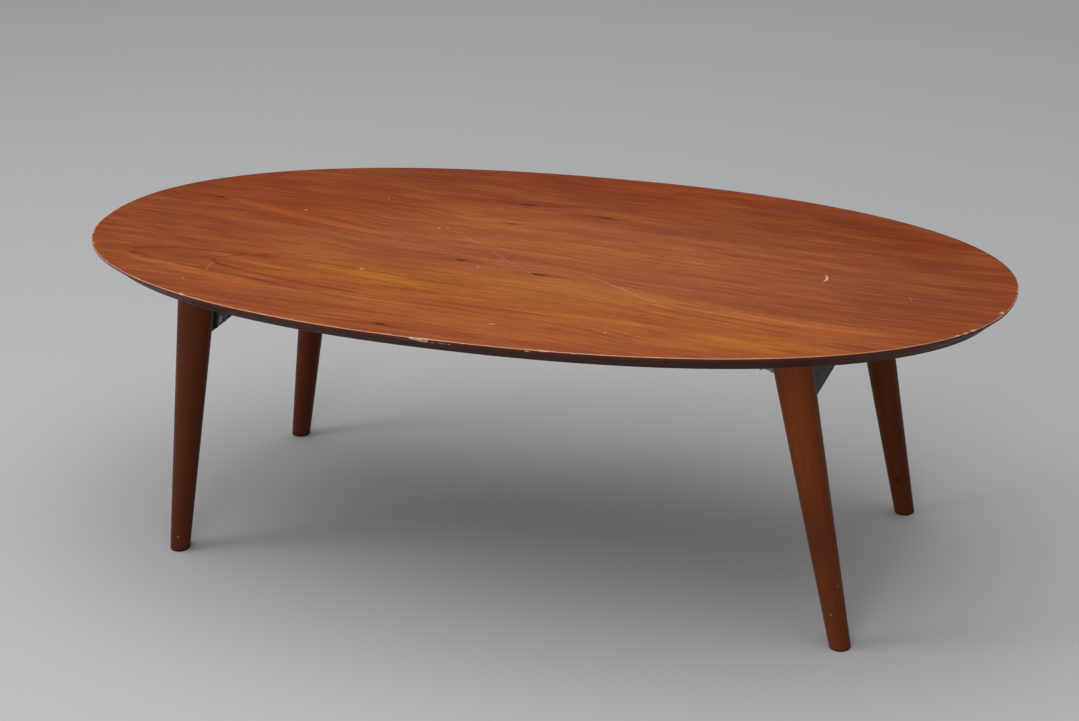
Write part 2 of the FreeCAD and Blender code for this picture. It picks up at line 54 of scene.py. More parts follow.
camera_data = bpy.data.cameras.new("table_camera")
camera_data.sensor_width = SENSOR_WIDTH
camera_data.lens = LENS
camera = bpy.data.objects.new("table_camera", camera_data)
bpy.context.scene.collection.objects.link(camera)
look = Euler((math.radians(90 - LOOK_DOWN), 0, math.radians(LOOK_LEFT))).to_matrix()
roll = Matrix.Rotation(math.radians(LOOK_ROLL), 3, "Z")
camera.matrix_world = Matrix.Translation(CAMERA_PLACE) @ (look @ roll).to_4x4()
bpy.context.scene.camera = camera
bpy.context.scene.view_settings.view_transform = "Standard"


# Studio
# A plain pale floor under a soft even sky, with three soft round lamps: a wide one overhead, one far out
# at the left and the smallest in front.
FLOOR_SIZE = 16
FLOOR_GREY = (0.385, 0.385, 0.39, 1)
FLOOR_ROUGHNESS = 0.9
SKY_WHITE = (0.93, 0.96, 1.0, 1)
SKY_STRENGTH = 0.11


def put(tree, kind, inputs=None, **settings):
    """Adds a shader node. Each input is a plain value or another node's output."""
    item = tree.nodes.new("ShaderNode" + kind)
    for name, value in settings.items():
        setattr(item, name, value)
    for name, value in (inputs or {}).items():
        feed(tree, item, name, value)
    return item


def feed(tree, item, name, value):
    """Gives one input of a node another node's output, or else a plain value."""
    if isinstance(value, bpy.types.NodeSocket):
        tree.links.new(value, item.inputs[name])
    else:
        item.inputs[name].default_value = value


def new_finish(name):
    """A material whose Principled shader is ready to be dressed."""
    finish = bpy.data.materials.new(name)
    finish.use_nodes = True
    return finish, finish.node_tree, finish.node_tree.nodes["Principled BSDF"]


def add_floor():
    bpy.ops.object.select_all(action="DESELECT")
    bpy.ops.mesh.primitive_plane_add(size=FLOOR_SIZE)
    floor = bpy.context.object
    floor.name = "studio_floor"
    finish, tree, shader = new_finish("floor_paint")
    feed(tree, shader, "Base Color", FLOOR_GREY)
    feed(tree, shader, "Roughness", FLOOR_ROUGHNESS)
    floor.data.materials.append(finish)


def add_sky():
    sky = bpy.data.worlds.new("studio_sky")
    sky.use_nodes = True
    feed(sky.node_tree, sky.node_tree.nodes["Background"], "Color", SKY_WHITE)
    feed(sky.node_tree, sky.node_tree.nodes["Background"], "Strength", SKY_STRENGTH)
    bpy.context.scene.world = sky


def add_lamp(name, place, aim, width, watts):
    lamp_data = bpy.data.lights.new(name, "AREA")
    lamp_data.shape = "DISK"
    lamp_data.size = width
    lamp_data.energy = watts
    lamp = bpy.data.objects.new(name, lamp_data)
    bpy.context.scene.collection.objects.link(lamp)
    lamp.location = place
    lamp.rotation_euler = (Vector(aim) - Vector(place)).to_track_quat("-Z", "Y").to_euler()


add_floor()
add_sky()
add_lamp("overhead_panel", (-0.2, -0.2, 3.6), (0, 0, 0), width=6.0, watts=190)
add_lamp("left_soft_lamp", (-5.5, -3.2, 2.4), (0, 0, 0.2), width=3.0, watts=170)
add_lamp("front_soft_lamp", (0.5, -3.4, 1.3), (0, 0, 0.2), width=1.8, watts=52)


# Top veneer
# A sliced sheet of reddish-brown hardwood, stained and lacquered to a satin gloss. Its grain runs along
# the table, with an arched figure at the left. The lacquer is scratched, and the arris is worn pale, partly a
# painted highlight along the front and ends, with painted shade along the back. Broad painted light, shade
# and sheen lie over the face as well.
OVAL_POWER = 2.2
OUTLINE_POINTS = 320
ARRIS_ROUND = 0.0004
ARRIS_STEPS = 3
veneer_low, veneer_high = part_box("top_veneer")
HALF_LENGTH = min(veneer_high[0], -veneer_low[0])
HALF_WIDTH = min(veneer_high[1], -veneer_low[1])

# The wood's own colours. The gold also serves as painted light over the middle of the top.
RED_WOOD = (0.190, 0.033, 0.0070, 1)
GOLD_WOOD_AND_LIGHT = (0.350, 0.096, 0.0155, 1)
LIGHT_VEIN = (0.46, 0.135, 0.022, 1)
RING_BROWN = (0.17, 0.028, 0.007, 1)
LATE_WOOD_BROWN = (0.115, 0.018, 0.006, 1)
ARCH_BROWN = (0.105, 0.016, 0.006, 1)
DARK_BAND = (0.15, 0.023, 0.006, 1)
LIGHT_BAND = (0.42, 0.13, 0.026, 1)
DARK_STREAK = (0.13, 0.020, 0.006, 1)
LIGHT_STREAK = (0.44, 0.14, 0.03, 1)
DARK_FIBRE = (0.15, 0.025, 0.008, 1)
LIGHT_FIBRE = (0.46, 0.16, 0.04, 1)
PORE_BROWN = (0.08, 0.014, 0.006, 1)
GUM_TAIL = (0.10, 0.016, 0.004, 1)
GUM_SPOT = (0.068, 0.006, 0.001, 1)

# Factors for red, green and blue where the stain is thinner, thicker or redder, which partly paint the light
# and shade across the top
BRIGHTER = (1.13, 1.28, 1.02, 1)
GOLDEN_GLOW = (1.05, 1.18, 1.08, 1)
DARKER = (0.86, 0.82, 0.95, 1)
REDDER = (0.99, 0.82, 0.60, 1)

# Wear, stain and painted light on top of the wood
HAZE_AND_SHEEN = (0.55, 0.50, 0.62, 1)
CUP_SCUFF = (0.56, 0.42, 0.35, 1)
SCRATCH = (0.62, 0.44, 0.36, 1)
CHIP = (0.68, 0.46, 0.30, 1)
EDGE_STAIN_AND_SHADE_ON_FACE = (0.035, 0.012, 0.008, 1)
EDGE_STAIN_ON_SIDE = (0.050, 0.013, 0.008, 1)
PALE_WOOD_AND_HIGHLIGHT = (0.56, 0.34, 0.23, 1)


def add_oval(name, inset, height):
    """A flat oval face, which is an ellipse a little fuller at its four shoulders."""
    bpy.ops.object.select_all(action="DESELECT")
    bpy.ops.mesh.primitive_circle_add(vertices=OUTLINE_POINTS, radius=1, fill_type="NGON")
    piece = bpy.context.object
    piece.name = name
    for vertex in piece.data.vertices:
        x, y = vertex.co.xy
        vertex.co.x = math.copysign(abs(x) ** (2 / OVAL_POWER), x) * (HALF_LENGTH - inset)
        vertex.co.y = math.copysign(abs(y) ** (2 / OVAL_POWER), y) * (HALF_WIDTH - inset)
        vertex.co.z = height
    return piece


def draw_out(piece, rise, spread=(1, 1, 1)):
    """Extrudes the selected face straight up or down, and resizes it about the middle."""
    bpy.context.view_layer.objects.active = piece
    bpy.ops.object.mode_set(mode="EDIT")
    bpy.ops.mesh.extrude_region_move(TRANSFORM_OT_translate={"value": (0, 0, rise)})
    bpy.ops.transform.resize(value=spread, center_override=(0, 0, 0))
    bpy.ops.object.mode_set(mode="OBJECT")


def round_edges_at(piece, height, width, steps):
    """Rounds the edges that lie at one height."""
    bpy.ops.object.mode_set(mode="EDIT")
    bpy.ops.mesh.select_all(action="DESELECT")
    bpy.ops.mesh.select_mode(type="EDGE")
    bpy.ops.object.mode_set(mode="OBJECT")
    heights = [vertex.co.z for vertex in piece.data.vertices]
    for edge in piece.data.edges:
        edge.select = all(abs(heights[end] - height) < 0.00001 for end in edge.vertices)
    bpy.ops.object.mode_set(mode="EDIT")
    bpy.ops.mesh.bevel(offset=width, segments=steps, profile=0.5)
    bpy.ops.object.mode_set(mode="OBJECT")


def finish_mesh(piece, finish, smooth_angle=35):
    """Turns all faces outwards, shades the piece smooth up to an angle and gives it its finish."""
    bpy.ops.object.mode_set(mode="EDIT")
    bpy.ops.mesh.select_all(action="SELECT")
    bpy.ops.mesh.normals_make_consistent(inside=False)
    bpy.ops.object.mode_set(mode="OBJECT")
    bpy.ops.object.shade_smooth_by_angle(angle=math.radians(smooth_angle))
    piece.data.materials.append(finish)


def calculate(tree, operation, *values):
    return put(tree, "Math", dict(enumerate(values)), operation=operation).outputs[0]


def multiply(tree, first, second):
    return calculate(tree, "MULTIPLY", first, second)


def ramp_between(tree, value, low, high, from_value=0.0, to_value=1.0):
    """A smooth step from one value to another while the input goes from low to high."""
    item = put(tree, "MapRange", {
        "Value": value, "From Min": low, "From Max": high, "To Min": from_value, "To Max": to_value,
    }, interpolation_type="SMOOTHSTEP")
    return item.outputs["Result"]


def blend_colours(tree, share, first, second, mode="MIX"):
    item = put(tree, "Mix", data_type="RGBA", blend_type=mode)
    for index, value in ((0, share), (6, first), (7, second)):
        feed(tree, item, index, value)
    return item.outputs[2]


def tint(tree, colour, mask, strength, paint):
    """Lays a paint over a colour where a mask shows."""
    return blend_colours(tree, multiply(tree, mask, strength), colour, paint)


def object_place(tree):
    """Each point's own place on the table, which stays with its piece when it moves."""
    return put(tree, "TexCoord").outputs["Object"]


def stretch(tree, vector, along, across):
    """Scales a grain vector so that the noise on it is drawn out along the grain."""
    return put(tree, "Mapping", {"Vector": vector, "Scale": (along, across, across)}).outputs[0]


def put_noise(tree, vector, scale, detail, roughness=0.5):
    item = put(tree, "TexNoise", {
        "Vector": vector, "Scale": scale, "Detail": detail, "Roughness": roughness,
    })
    return item.outputs["Fac"]


def put_streaks(tree, grain, along, across, detail, roughness=0.5):
    """Noise that is drawn out along the grain. It changes so many times a metre along and across."""
    return put_noise(tree, stretch(tree, grain, along, across), 1.0, detail, roughness)


def new_group(name, inputs, outputs):
    """A shader group. Each input has a socket type and a value, or none for a vector."""
    group = bpy.data.node_groups.new(name, "ShaderNodeTree")
    for label, (kind, value) in inputs.items():
        socket = group.interface.new_socket(label, in_out="INPUT", socket_type="NodeSocket" + kind)
        if value is not None:
            socket.default_value = value
    for label in outputs:
        group.interface.new_socket(label, in_out="OUTPUT", socket_type="NodeSocketFloat")
    return group, group.nodes.new("NodeGroupInput"), group.nodes.new("NodeGroupOutput")


def use_group(tree, group, inputs):
    return put(tree, "Group", inputs, node_tree=group)


def make_wood_figure():
    """Growth rings as a knife slices them along the log, with fine streaks, fibres and pores.

    The grain runs along X. The log's heart lies below Y = 0. It leans as far as Arch End, so the rings
    cross in arches there, and runs level beyond."""
    group, start, end = new_group("wood_figure", {
        "Vector": ("Vector", None),
        "Heart Depth": ("Float", 0.05),
        "Lean": ("Float", 0.06),
        "Ring Spacing": ("Float", 0.006),
        "Wander": ("Float", 0.02),
        "Side Shift": ("Float", 0.0),
        "Arch End": ("Float", 10.0),
    }, ("Rings", "Late Wood", "Streaks", "Fibres", "Pores"))
    given = start.outputs
    split = put(group, "SeparateXYZ", {"Vector": given["Vector"]})
    drift = calculate(group, "SUBTRACT", put_streaks(group, given["Vector"], 2.2, 6.0, 2.0, 0.45), 0.5)
    wander = multiply(group, drift, given["Wander"])
    side = calculate(group, "ADD", calculate(group, "ADD", wander, given["Side Shift"]), split.outputs["Y"])
    bent = put(group, "CombineXYZ", {"X": split.outputs["X"], "Y": side, "Z": split.outputs["Z"]}).outputs[0]
    depth = calculate(group, "ADD", given["Heart Depth"], split.outputs["Z"])
    radius = calculate(group, "SQRT", calculate(
        group, "ADD", multiply(group, side, side), multiply(group, depth, depth)))
    leaning_length = calculate(group, "SMOOTH_MIN", split.outputs["X"], given["Arch End"], 0.15)
    leaning = calculate(group, "SUBTRACT", radius, multiply(group, leaning_length, given["Lean"]))
    ring_number = calculate(group, "DIVIDE", leaning, given["Ring Spacing"])
    rings = put(group, "TexNoise", {"W": ring_number, "Scale": 0.55, "Detail": 3.0, "Roughness": 0.6},
                noise_dimensions="1D").outputs["Fac"]
    crumbly = put_streaks(group, bent, 9.0, 160.0, 3.0)
    uneven = calculate(group, "MULTIPLY_ADD", crumbly, 0.35, ring_number)
    age = calculate(group, "FRACT", calculate(group, "MULTIPLY_ADD", rings, 1.6, uneven))
    line = multiply(group, ramp_between(group, age, 0.5, 0.94), ramp_between(group, age, 1.0, 0.95))
    faint = put_streaks(group, bent, 3.5, 28.0, 2.0)
    late_wood = multiply(group, line, ramp_between(group, faint, 0.38, 0.62, 0.2, 1.0))
    feed(group, end, "Rings", rings)
    feed(group, end, "Late Wood", late_wood)
    feed(group, end, "Streaks", put_streaks(group, bent, 8.0, 320.0, 3.0, 0.6))
    feed(group, end, "Fibres", put_streaks(group, bent, 16.0, 900.0, 2.0, 0.6))
    feed(group, end, "Pores", ramp_between(group, put_streaks(group, bent, 60.0, 1900.0, 1.0), 0.58, 0.70))
    return group


def make_surface_mark():
    """A mask for one scratch, knot or fleck on a level face, which may bend to one side."""
    group, start, end = new_group("surface_mark", {
        "Vector": ("Vector", None),
        "Across": ("Float", 0.0),
        "Along": ("Float", 0.0),
        "Turn": ("Float", 0.0),
        "Half Length": ("Float", 0.01),
        "Half Width": ("Float", 0.001),
        "Bend": ("Float", 0.0),
    }, ("Mask",))
    given = start.outputs
    split = put(group, "SeparateXYZ", {"Vector": given["Vector"]})
    x = calculate(group, "SUBTRACT", split.outputs["X"], given["Across"])
    y = calculate(group, "SUBTRACT", split.outputs["Y"], given["Along"])
    cosine = calculate(group, "COSINE", given["Turn"])
    sine = calculate(group, "SINE", given["Turn"])
    along = calculate(group, "ADD", multiply(group, x, cosine), multiply(group, y, sine))
    across = calculate(group, "SUBTRACT", multiply(group, y, cosine), multiply(group, x, sine))
    curve = multiply(group, multiply(group, along, along), given["Bend"])
    across = calculate(group, "SUBTRACT", across, curve)
    long_share = calculate(group, "DIVIDE", along, given["Half Length"])
    wide_share = calculate(group, "DIVIDE", across, given["Half Width"])
    reach = calculate(group, "SQRT", calculate(
        group, "ADD", multiply(group, long_share, long_share), multiply(group, wide_share, wide_share)))
    feed(group, end, "Mask", ramp_between(group, reach, 1.15, 0.45))
    return group


def make_ring_branch():
    """A mask for one side of a growth ring that the knife has cut as an arch.

    It leaves the arch's tip along +X as Root times the square root of the way, plus Slope times the way."""
    group, start, end = new_group("ring_branch", {
        "Vector": ("Vector", None),
        "Tip X": ("Float", 0.0),
        "Tip Y": ("Float", 0.0),
        "Root": ("Float", 0.1),
        "Slope": ("Float", 0.0),
        "Half Width": ("Float", 0.003),
        "Reach": ("Float", 0.3),
    }, ("Mask",))
    given = start.outputs
    split = put(group, "SeparateXYZ", {"Vector": given["Vector"]})
    way = calculate(group, "SUBTRACT", split.outputs["X"], given["Tip X"])
    safe_way = calculate(group, "MAXIMUM", way, 0.0001)
    way_root = calculate(group, "SQRT", safe_way)
    slope_part = multiply(group, safe_way, given["Slope"])
    offset = calculate(group, "MULTIPLY_ADD", way_root, given["Root"], slope_part)
    y = calculate(group, "SUBTRACT", split.outputs["Y"], given["Tip Y"])
    missed = calculate(group, "ABSOLUTE", calculate(group, "SUBTRACT", y, offset))
    root_part = calculate(group, "DIVIDE", given["Root"], multiply(group, way_root, 2.0))
    steepness = calculate(group, "ADD", given["Slope"], root_part)
    length = calculate(group, "SQRT", calculate(group, "MULTIPLY_ADD", steepness, steepness, 1.0))
    distance = calculate(group, "DIVIDE", missed, length)
    near = ramp_between(group, calculate(group, "DIVIDE", distance, given["Half Width"]), 1.0, 0.1)
    begun = ramp_between(group, way, -0.002, 0.001)
    ended = ramp_between(group, calculate(group, "DIVIDE", way, given["Reach"]), 1.0, 0.35)
    feed(group, end, "Mask", multiply(group, near, multiply(group, begun, ended)))
    return group


wood_figure = make_wood_figure()
surface_mark = make_surface_mark()
ring_branch = make_ring_branch()


def strongest(tree, masks):
    """The greatest of several masks at each point."""
    result = masks[0]
    for mask in masks[1:]:
        result = calculate(tree, "MAXIMUM", result, mask)
    return result


def place_marks(tree, place, marks):
    """One mask for a list of marks: x, y, turn in degrees, half length, half width, bend."""
    masks = []
    for x, y, turn, half_length, half_width, bend in marks:
        item = use_group(tree, surface_mark, {
            "Vector": place, "Across": x, "Along": y, "Turn": math.radians(turn),
            "Half Length": half_length, "Half Width": half_width, "Bend": bend,
        })
        masks.append(item.outputs["Mask"])
    return strongest(tree, masks)


def place_branches(tree, place, branches):
    """One mask for a list of ring branches: tip x, tip y, root, slope, half width, reach."""
    masks = []
    for tip_x, tip_y, root, slope, half_width, reach in branches:
        item = use_group(tree, ring_branch, {
            "Vector": place, "Tip X": tip_x, "Tip Y": tip_y, "Root": root, "Slope": slope,
            "Half Width": half_width, "Reach": reach,
        })
        masks.append(item.outputs["Mask"])
    return strongest(tree, masks)


def shift_by_noise(tree, place, scale, detail, reach):
    """Moves each point by as much as the reach, so that what is drawn there turns out uneven."""
    noise = put(tree, "TexNoise", {"Vector": place, "Scale": scale, "Detail": detail})
    level = put(tree, "VectorMath", {0: noise.outputs["Color"], 1: (0.5, 0.5, 0.5)}, operation="SUBTRACT")
    shift = put(tree, "VectorMath", {0: level.outputs[0], 1: (2 * reach, 2 * reach, 0)}, operation="MULTIPLY")
    return put(tree, "VectorMath", {0: place, 1: shift.outputs[0]}, operation="ADD").outputs[0]


def slice_veneer(tree, place, grain):
    """The growth rings of the veneer. They rise towards the back left and fall towards the right end."""
    rising_left = place_marks(tree, place, [(-0.50, 0.13, 0, 0.42, 0.26, 0.0)])
    falling_right = place_marks(tree, place, [(0.58, -0.02, 0, 0.50, 0.45, 0.0)])
    side_shift = calculate(
        tree, "SUBTRACT", multiply(tree, falling_right, 0.03), multiply(tree, rising_left, 0.045))
    return use_group(tree, wood_figure, {
        "Vector": grain, "Heart Depth": 0.03, "Lean": 0.10, "Ring Spacing": 0.009, "Wander": 0.045,
        "Side Shift": side_shift, "Arch End": 0.20,
    })


def colour_ground(tree, place, grain):
    """The wood's ground colour, red turning to gold in the middle, with a few light veins. The broad gold
    area in the middle is partly painted light, the brightness over the middle and front of the top.
    """
    # Two broad gold areas at the middle and front, partly the wood's tone and partly painted light.
    golden_and_lit = place_marks(tree, place, [
        (-0.02, -0.07, -3, 0.52, 0.19, 0.0),
        (0.24, -0.13, -2, 0.26, 0.10, 0.0),
    ])
    patches = ramp_between(tree, put_streaks(tree, grain, 2.4, 11.0, 3.0, 0.55), 0.36, 0.66)
    flames = ramp_between(tree, put_streaks(tree, grain, 8.0, 48.0, 2.0), 0.40, 0.64)
    gold_and_light_share = calculate(tree, "MULTIPLY_ADD", golden_and_lit, 0.46, multiply(tree, patches, 0.22))
    gold_and_light_share = calculate(tree, "MULTIPLY_ADD", flames, 0.32, gold_and_light_share)
    colour = blend_colours(tree, gold_and_light_share, RED_WOOD, GOLD_WOOD_AND_LIGHT)
    light_veins = place_marks(tree, place, [
        (-0.267, 0.034, -15.4, 0.165, 0.0060, 0.39),
        (-0.315, -0.143, -13, 0.11, 0.010, 0.3),
        (-0.165, -0.1635, -2, 0.14, 0.007, 0.0),
        (0.30, -0.115, -4, 0.13, 0.010, 0.0),
        (0.125, -0.157, -3, 0.10, 0.006, 0.0),
    ])
    return tint(tree, colour, light_veins, 0.68, LIGHT_VEIN)


def colour_rings(tree, place, grain, figure, colour):
    """The dark growth rings. At the left two of them are cut as arches, and the others are fainter there."""
    colour = tint(tree, colour, ramp_between(tree, figure.outputs["Rings"], 0.38, 0.62), 0.25, RING_BROWN)
    arched = place_marks(tree, place, [(-0.33, -0.115, -8, 0.16, 0.065, 0.0)])
    late_wood_strength = calculate(tree, "MULTIPLY_ADD", arched, -0.26, 0.36)
    colour = tint(tree, colour, figure.outputs["Late Wood"], late_wood_strength, LATE_WOOD_BROWN)
    wavy = shift_by_noise(tree, place, 9.0, 2.0, 0.004)
    arches = place_branches(tree, wavy, [
        (-0.419, -0.1077, 0.165, -0.270, 0.0048, 0.52),
        (-0.419, -0.1077, -0.0211, -0.188, 0.0042, 0.42),
        (-0.320, -0.1027, 0.082, 0.125, 0.0034, 0.13),
        (-0.320, -0.1027, -0.1124, -0.0152, 0.0042, 0.50),
    ])
    arch_strength = ramp_between(tree, put_streaks(tree, grain, 14.0, 90.0, 3.0), 0.3, 0.6, 0.34, 0.72)
    return tint(tree, colour, arches, arch_strength, ARCH_BROWN)


def colour_lines(tree, grain, figure, colour):
    """Dark and light lines along the grain, from broad bands to single fibres, and the dark pores."""
    bands = put_streaks(tree, grain, 9.0, 150.0, 3.0, 0.6)
    streaks = figure.outputs["Streaks"]
    fibres = figure.outputs["Fibres"]
    for lines, begin, full, strength, paint in (
        (bands, 0.50, 0.68, 0.27, DARK_BAND),
        (bands, 0.48, 0.32, 0.22, LIGHT_BAND),
        (streaks, 0.50, 0.68, 0.42, DARK_STREAK),
        (streaks, 0.47, 0.32, 0.27, LIGHT_STREAK),
        (fibres, 0.48, 0.70, 0.35, DARK_FIBRE),
        (fibres, 0.46, 0.30, 0.28, LIGHT_FIBRE),
    ):
        colour = tint(tree, colour, ramp_between(tree, lines, begin, full), strength, paint)
    return tint(tree, colour, figure.outputs["Pores"], 0.4, PORE_BROWN)


def colour_stain_and_light(tree, place, colour):
    """Soft areas where the stain is thinner, thicker or redder, partly painted light and shade across the
    top: lighter at the middle and front, darker at the ends, and redder at the back where the top shows no
    sheen. Also a faint haze on the lacquer with painted sheen.
    """
    brighter = place_marks(tree, place, [
        (0.00, -0.103, 0, 0.27, 0.034, 0.0),
        (0.08, 0.018, 0, 0.17, 0.042, 0.0),
        (-0.08, 0.092, -3, 0.15, 0.045, 0.0),
        (0.27, -0.182, 5, 0.08, 0.028, 0.0),
    ])
    glowing = place_marks(tree, place, [
        (-0.145, -0.102, -14, 0.085, 0.022, 0.0),
        (0.130, -0.088, -8, 0.11, 0.022, 0.0),
    ])
    darker = place_marks(tree, place, [
        (-0.35, -0.010, 0, 0.22, 0.080, 0.0),
        (-0.38, -0.145, -25, 0.11, 0.050, 0.0),
        (0.36, -0.055, 8, 0.19, 0.080, 0.0),
        (0.27, 0.150, -10, 0.16, 0.045, 0.0),
        (-0.24, -0.168, -9, 0.17, 0.040, 0.0),
        (-0.35, -0.105, -14, 0.10, 0.030, 0.0),
        (-0.45, 0.018, 70, 0.06, 0.035, 0.0),
        (-0.16, -0.032, 0, 0.16, 0.028, 0.0),
        (0.41, -0.135, 35, 0.07, 0.030, 0.0),
        (0.38, 0.105, -24, 0.08, 0.032, 0.0),
    ])
    redder = place_marks(tree, place, [
        (-0.34, 0.110, -10, 0.24, 0.100, 0.0),
        (0.10, 0.225, 0, 0.36, 0.060, 0.0),
        (0.35, 0.145, -24, 0.13, 0.045, 0.0),
    ])
    # The lighter, darker and redder areas paint part of the light and shade across the top.
    for area, change in (
        (brighter, BRIGHTER), (glowing, GOLDEN_GLOW), (darker, DARKER), (redder, REDDER),
    ):
        colour = blend_colours(tree, area, colour, change, "MULTIPLY")
    # A faint painted sheen over the middle of the top, partly a haze on the lacquer.
    hazy_sheen = place_marks(tree, place, [(0.12, 0.0, -4, 0.40, 0.14, 0.0)])
    return tint(tree, colour, hazy_sheen, 0.014, HAZE_AND_SHEEN)


def colour_gum(tree, place, colour):
    """Small dark gum marks in the wood, each with a paler tail along the grain."""
    frayed = shift_by_noise(tree, place, 130.0, 2.0, 0.0016)
    tails = place_marks(tree, frayed, [
        (-0.0577, 0.1381, -1, 0.034, 0.0034, 0.0),
        (0.0370, 0.1194, -2, 0.045, 0.0048, 0.0),
        (-0.0550, 0.0762, 0, 0.024, 0.0042, 0.0),
        (-0.0670, -0.0400, 1, 0.038, 0.0044, 0.0),
        (0.0340, -0.0600, -3, 0.040, 0.0050, 0.0),
        (-0.4031, 0.0754, 0, 0.024, 0.0036, 0.0),
        (-0.0790, -0.2232, -3, 0.032, 0.0044, 0.0),
    ])
    spots = place_marks(tree, frayed, [
        (-0.0575, 0.1381, -1, 0.0090, 0.0028, 0.0),
        (0.0390, 0.1192, -2, 0.0130, 0.0028, 0.0),
        (-0.0531, 0.0759, 0, 0.0058, 0.0024, 0.0),
        (-0.0656, -0.0404, 1, 0.0078, 0.0030, 0.0),
        (0.0280, -0.0588, -4, 0.0120, 0.0031, 0.0),
        (-0.4031, 0.0754, 0, 0.0068, 0.0025, 0.0),
        (-0.0770, -0.2235, -3, 0.0080, 0.0031, 0.0),
    ])
    colour = tint(tree, colour, tails, 0.36, GUM_TAIL)
    return tint(tree, colour, spots, 0.76, GUM_SPOT)


def place_scratches(tree, place):
    """Thin scratches through the lacquer. The longest runs from the middle towards the right front."""
    return place_marks(tree, place, [
        (0.120, -0.0735, -31, 0.070, 0.0010, -0.75),
        (0.1660, -0.1000, -36, 0.024, 0.0006, 0.0),
        (0.402, -0.026, -68, 0.009, 0.0006, 0.0),
        (-0.0800, 0.0207, -38, 0.040, 0.0004, 0.0),
        (-0.0395, 0.0033, -18, 0.026, 0.0005, 0.0),
        (-0.0270, -0.0220, -40, 0.034, 0.0005, 0.0),
        (0.0090, -0.0515, -39, 0.024, 0.0006, 0.0),
    ])


def place_chips(tree, place):
    """Chips in the lacquer. The first is as curved as a comma."""
    return place_marks(tree, place, [
        (0.3112, 0.0060, -85, 0.0115, 0.0014, -30.0),
        (-0.1251, 0.0438, 10, 0.0020, 0.0010, 0.0),
        (-0.1156, 0.0463, -20, 0.0016, 0.0009, 0.0),
        (-0.041, -0.0547, 60, 0.0016, 0.0009, 0.0),
        (0.0288, -0.1948, 4, 0.0046, 0.0007, 0.0),
        (-0.1552, -0.0915, 35, 0.0032, 0.0012, 0.0),
        (-0.291, 0.0598, 10, 0.0022, 0.0010, 0.0),
        (-0.2158, 0.1173, 0, 0.0010, 0.0010, 0.0),
        (-0.3243, -0.1638, 30, 0.0014, 0.0008, 0.0),
        (0.1415, -0.1869, 0, 0.0014, 0.0008, 0.0),
    ])


def colour_wear(tree, place, scratches, chips, colour):
    """The scuff of a cup's foot, the scratches, which skip here and there, and the chips."""
    cup_scuff = place_marks(tree, place, [(-0.3150, -0.1240, -79, 0.0150, 0.0018, 12.0)])
    colour = tint(tree, colour, cup_scuff, 0.09, CUP_SCUFF)
    patchy = ramp_between(tree, put_noise(tree, place, 900.0, 1.0), 0.42, 0.55)
    colour = tint(tree, colour, multiply(tree, scratches, patchy), 0.38, SCRATCH)
    return tint(tree, colour, chips, 0.75, CHIP)


def measure_from_rim(tree, split):
    """How far each point of the face lies from the oval's rim, worked out from the oval's formula."""
    x_share = calculate(tree, "ABSOLUTE", calculate(tree, "DIVIDE", split.outputs["X"], HALF_LENGTH))
    y_share = calculate(tree, "ABSOLUTE", calculate(tree, "DIVIDE", split.outputs["Y"], HALF_WIDTH))
    fullness = calculate(
        tree, "ADD", calculate(tree, "POWER", x_share, OVAL_POWER),
        calculate(tree, "POWER", y_share, OVAL_POWER))
    slope_x = calculate(
        tree, "DIVIDE", calculate(tree, "POWER", x_share, OVAL_POWER - 1), HALF_LENGTH / OVAL_POWER)
    slope_y = calculate(
        tree, "DIVIDE", calculate(tree, "POWER", y_share, OVAL_POWER - 1), HALF_WIDTH / OVAL_POWER)
    slope = calculate(tree, "SQRT", calculate(
        tree, "ADD", multiply(tree, slope_x, slope_x), multiply(tree, slope_y, slope_y)))
    return calculate(tree, "DIVIDE", calculate(tree, "SUBTRACT", 1.0, fullness), slope)


def place_rim_chips(tree, place):
    """Chips along the arris. The largest is at the middle of the front."""
    ragged = shift_by_noise(tree, place, 320.0, 3.0, 0.0035)
    return place_marks(tree, ragged, [
        (-0.0240, -0.2484, 0, 0.0130, 0.0028, 0.0),
        (-0.0330, -0.2478, 2, 0.0060, 0.0016, 0.0),
        (0.100, -0.2440, 3, 0.008, 0.0016, 0.0),
        (0.135, -0.2420, 5, 0.010, 0.0016, 0.0),
        (-0.3037, -0.2047, -22, 0.005, 0.0016, 0.0),
        (-0.4268, -0.1416, -40, 0.0025, 0.0016, 0.0),
        (-0.4685, -0.0957, -62, 0.0022, 0.0012, 0.0),
        (-0.4860, -0.0662, -70, 0.0045, 0.0010, 0.0),
        (0.4985, 0.0228, 85, 0.004, 0.0012, 0.0),
        (0.4930, -0.0377, 80, 0.003, 0.0020, 0.0),
        (0.4625, -0.1055, 52, 0.0040, 0.0014, 0.0),
        (0.4695, -0.0968, 55, 0.0025, 0.0018, 0.0),
        (0.4752, -0.0878, 58, 0.0030, 0.0015, 0.0),
        (0.3978, -0.1660, 36, 0.005, 0.0014, 0.0),
    ])


